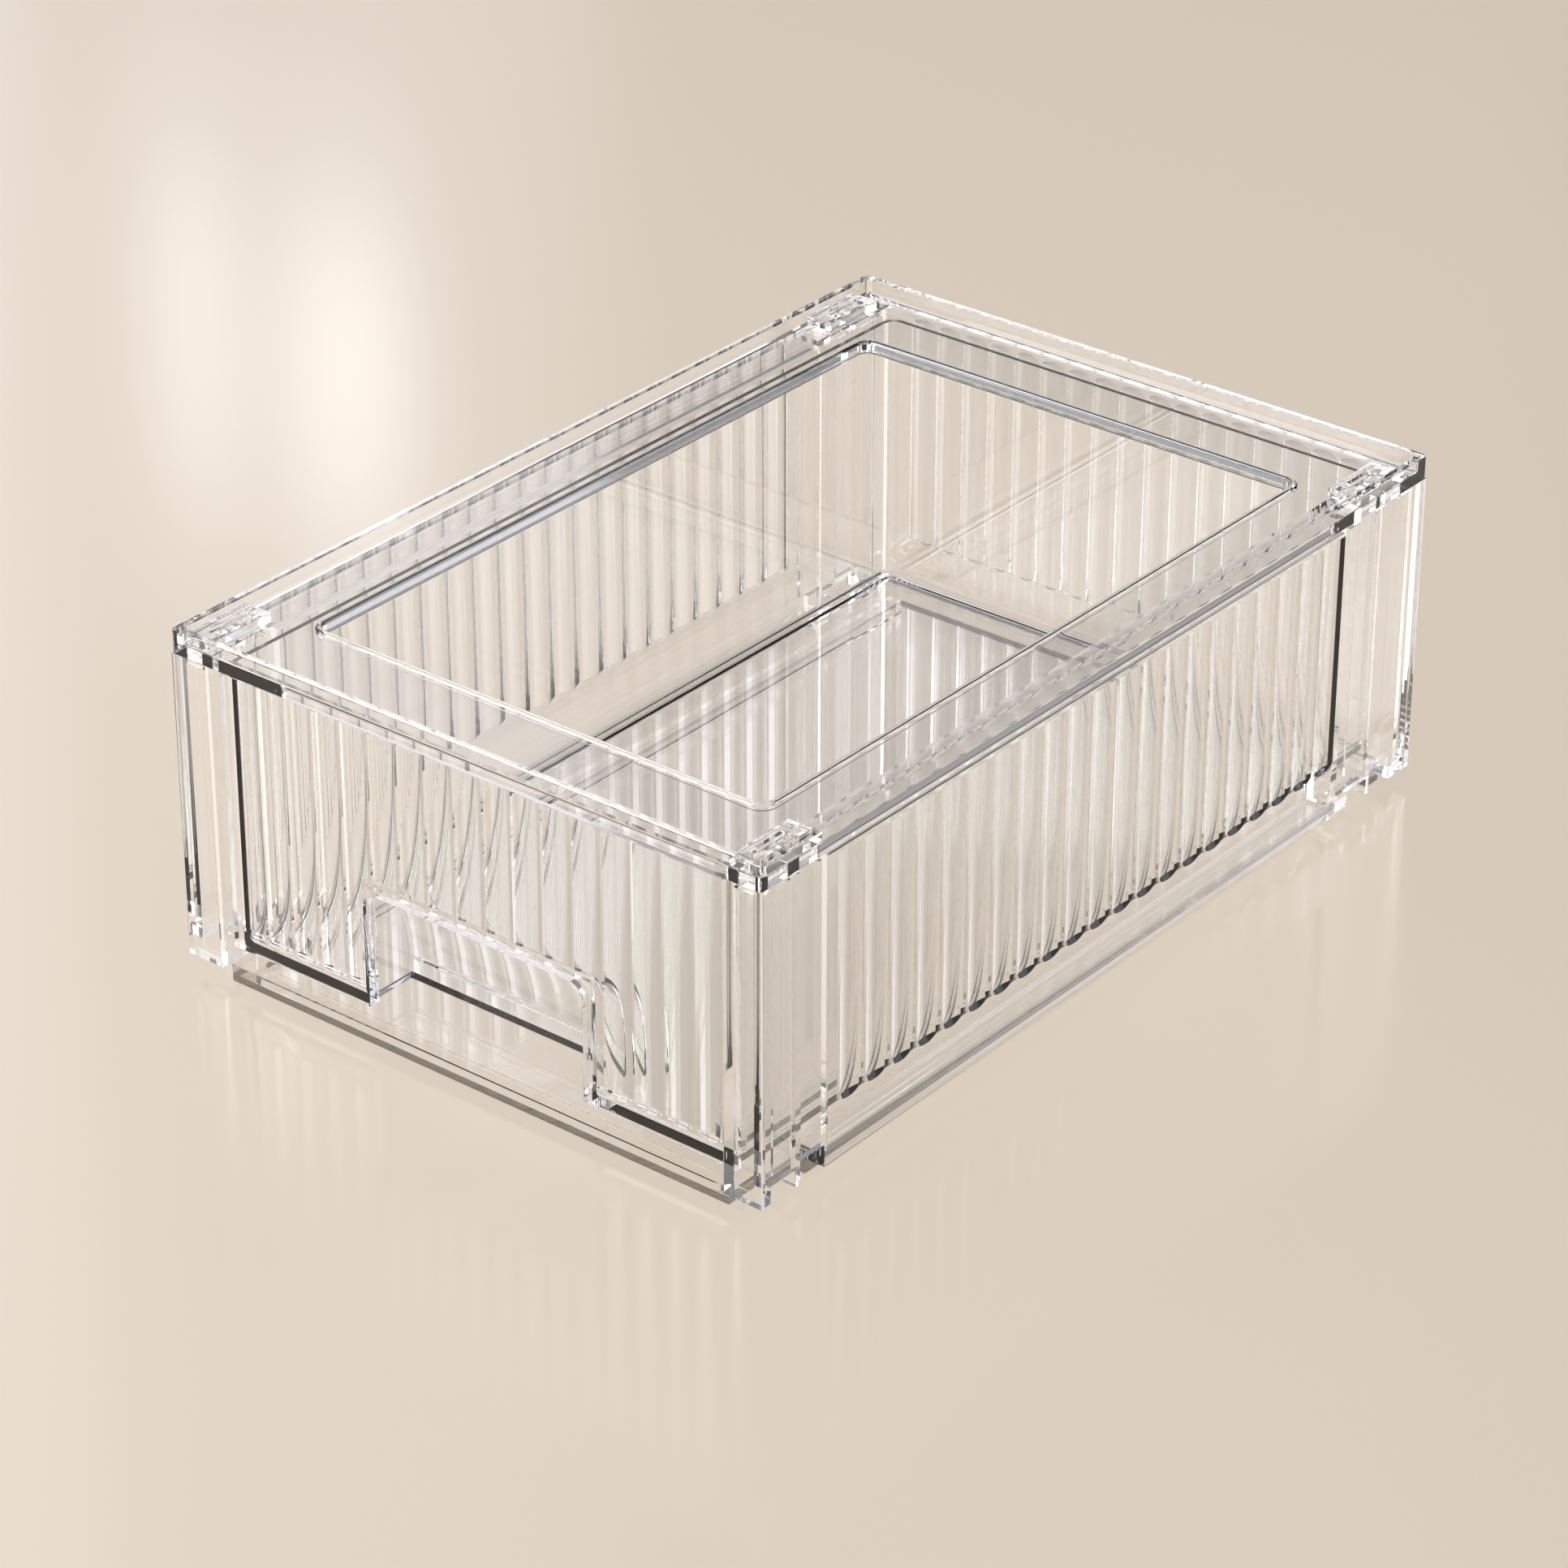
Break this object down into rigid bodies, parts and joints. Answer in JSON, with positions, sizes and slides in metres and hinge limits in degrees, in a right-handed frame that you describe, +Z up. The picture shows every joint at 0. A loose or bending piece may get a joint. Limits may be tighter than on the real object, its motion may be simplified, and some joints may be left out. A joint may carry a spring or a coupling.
{
  "type": "stackable drawer box",
  "caption": "Clear plastic stackable box of five snap-together panels with fluted walls, a windowed top and one sliding drawer with an arched pull notch.",
  "frame": {"origin": "centre of the foot's underside, on the surface that the box stands on", "axes": "+Z up, +X to the right as seen from the front, -Y the way the drawer opens"},
  "size_m": [0.175, 0.26, 0.0915],
  "materials": {
    "clear_panel": "gloss",
    "clear_drawer": "gloss",
    "clear_clip": "gloss"
  },
  "bodies": {
    "case": {"base_panel": "clear_panel", "side_panel_left": "clear_panel", "side_panel_right": "clear_panel", "back_panel": "clear_panel", "top_panel": "clear_panel", "clip_front_left": "clear_clip", "clip_front_right": "clear_clip", "clip_back_left": "clear_clip", "clip_back_right": "clear_clip"},
    "drawer": {"drawer": "clear_drawer"}
  },
  "joints": [
    {"name": "drawer_slide", "type": "slide", "parent": "case", "child": "drawer", "axis": [0, -1, 0], "range_m": [0, 0.2]}
  ]
}
